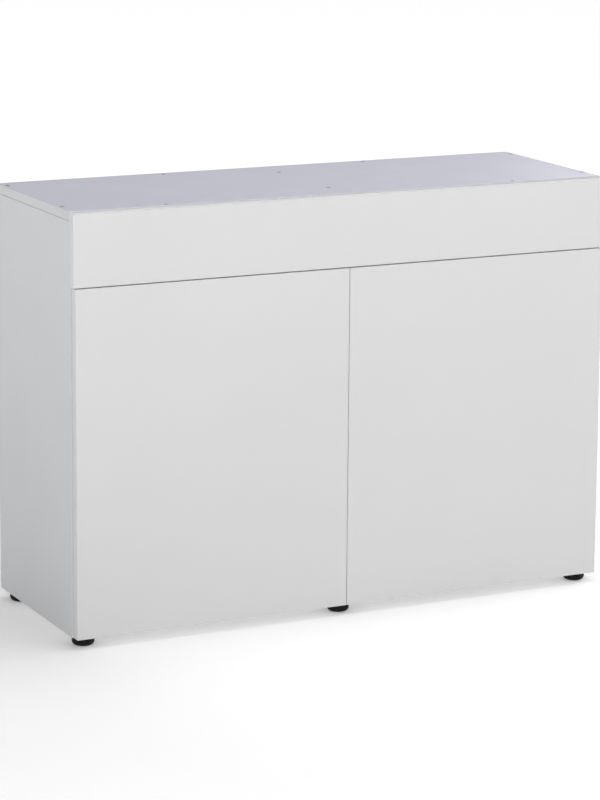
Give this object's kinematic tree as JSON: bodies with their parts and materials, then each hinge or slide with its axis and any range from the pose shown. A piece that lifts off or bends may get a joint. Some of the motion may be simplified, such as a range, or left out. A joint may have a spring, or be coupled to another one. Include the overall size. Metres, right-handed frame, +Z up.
{
  "type": "aquarium stand cabinet",
  "caption": "Low white aquarium stand cabinet with a fixed top fascia, overlay push-to-open doors and round levelling feet.",
  "frame": {"origin": "on the floor, under the middle of the cabinet's outer box with the doors shut", "axes": "+X to the viewer's right along the front, -Y out of the front, +Z up"},
  "size_m": [1.2, 0.421, 0.878],
  "materials": {
    "white_laminate": "satin white melamine on chipboard",
    "top_laminate": "satin pale lavender-grey laminate on chipboard",
    "back_board": "matt white lacquered board",
    "nickel": "nickel-plated steel",
    "zinc": "zinc-plated steel",
    "black_plastic": "moulded black",
    "grey_plastic": "moulded grey",
    "bumper_rubber": "soft clear"
  },
  "bodies": {
    "carcass": {"back_centre_foot_insert": "zinc", "back_left_foot_insert": "zinc", "back_panel": "back_board", "back_right_foot_insert": "zinc", "bottom_panel": "white_laminate", "centre_divider": "white_laminate", "front_centre_foot_insert": "zinc", "front_fascia": "white_laminate", "front_left_foot_insert": "zinc", "front_rail_left": "white_laminate", "front_rail_right": "white_laminate", "front_right_foot_insert": "zinc", "left_latch_housing": "grey_plastic", "left_lower_hinge_arm": "nickel", "left_lower_hinge_plate": "nickel", "left_side_panel": "white_laminate", "left_upper_hinge_arm": "nickel", "left_upper_hinge_plate": "nickel", "rear_rail_left": "white_laminate", "rear_rail_right": "white_laminate", "right_latch_housing": "grey_plastic", "right_lower_hinge_arm": "nickel", "right_lower_hinge_plate": "nickel", "right_side_panel": "white_laminate", "right_upper_hinge_arm": "nickel", "right_upper_hinge_plate": "nickel", "shelf": "white_laminate", "shelf_pin_divider_front": "nickel", "shelf_pin_divider_rear": "nickel", "shelf_pin_side_front": "nickel", "shelf_pin_side_rear": "nickel", "top_panel": "top_laminate", "top_screw_centre_front": "zinc", "top_screw_centre_rear": "zinc", "top_screw_left_front": "zinc", "top_screw_left_rear": "zinc", "top_screw_right_front": "zinc", "top_screw_right_rear": "zinc"},
    "left_door": {"left_door": "white_laminate", "left_door_bumper": "bumper_rubber", "left_upper_hinge_cup": "nickel", "left_upper_hinge_pin": "nickel", "left_lower_hinge_cup": "nickel", "left_lower_hinge_pin": "nickel"},
    "right_door": {"right_door": "white_laminate", "right_door_bumper": "bumper_rubber", "right_upper_hinge_cup": "nickel", "right_upper_hinge_pin": "nickel", "right_lower_hinge_cup": "nickel", "right_lower_hinge_pin": "nickel"},
    "left_plunger": {"left_latch_plunger": "grey_plastic"},
    "right_plunger": {"right_latch_plunger": "grey_plastic"},
    "front_left_foot": {"front_left_foot": "black_plastic"},
    "front_centre_foot": {"front_centre_foot": "black_plastic"},
    "front_right_foot": {"front_right_foot": "black_plastic"},
    "back_left_foot": {"back_left_foot": "black_plastic"},
    "back_centre_foot": {"back_centre_foot": "black_plastic"},
    "back_right_foot": {"back_right_foot": "black_plastic"}
  },
  "joints": [
    {"name": "left_door_hinge", "type": "hinge", "parent": "carcass", "child": "left_door", "pos_m": [-0.5905, -0.203, 0.373], "axis": [0, 0, -1], "range_deg": [0, 95]},
    {"name": "right_door_hinge", "type": "hinge", "parent": "carcass", "child": "right_door", "pos_m": [0.5905, -0.203, 0.373], "axis": [0, 0, 1], "range_deg": [0, 95]},
    {"name": "left_plunger_slide", "type": "slide", "parent": "carcass", "child": "left_plunger", "axis": [0, -1, 0], "range_m": [0, 0.014]},
    {"name": "right_plunger_slide", "type": "slide", "parent": "carcass", "child": "right_plunger", "axis": [0, -1, 0], "range_m": [0, 0.014]},
    {"name": "front_left_foot_screw", "type": "slide", "parent": "carcass", "child": "front_left_foot", "axis": [0, 0, -1], "range_m": [0, 0.012]},
    {"name": "front_centre_foot_screw", "type": "slide", "parent": "carcass", "child": "front_centre_foot", "axis": [0, 0, -1], "range_m": [0, 0.012]},
    {"name": "front_right_foot_screw", "type": "slide", "parent": "carcass", "child": "front_right_foot", "axis": [0, 0, -1], "range_m": [0, 0.012]},
    {"name": "back_left_foot_screw", "type": "slide", "parent": "carcass", "child": "back_left_foot", "axis": [0, 0, -1], "range_m": [0, 0.012]},
    {"name": "back_centre_foot_screw", "type": "slide", "parent": "carcass", "child": "back_centre_foot", "axis": [0, 0, -1], "range_m": [0, 0.012]},
    {"name": "back_right_foot_screw", "type": "slide", "parent": "carcass", "child": "back_right_foot", "axis": [0, 0, -1], "range_m": [0, 0.012]}
  ],
  "couplings": [
    {"joint": "left_plunger_slide", "follows": "left_door_hinge", "m_per_rad": 0.008443},
    {"joint": "right_plunger_slide", "follows": "right_door_hinge", "m_per_rad": 0.008443}
  ]
}
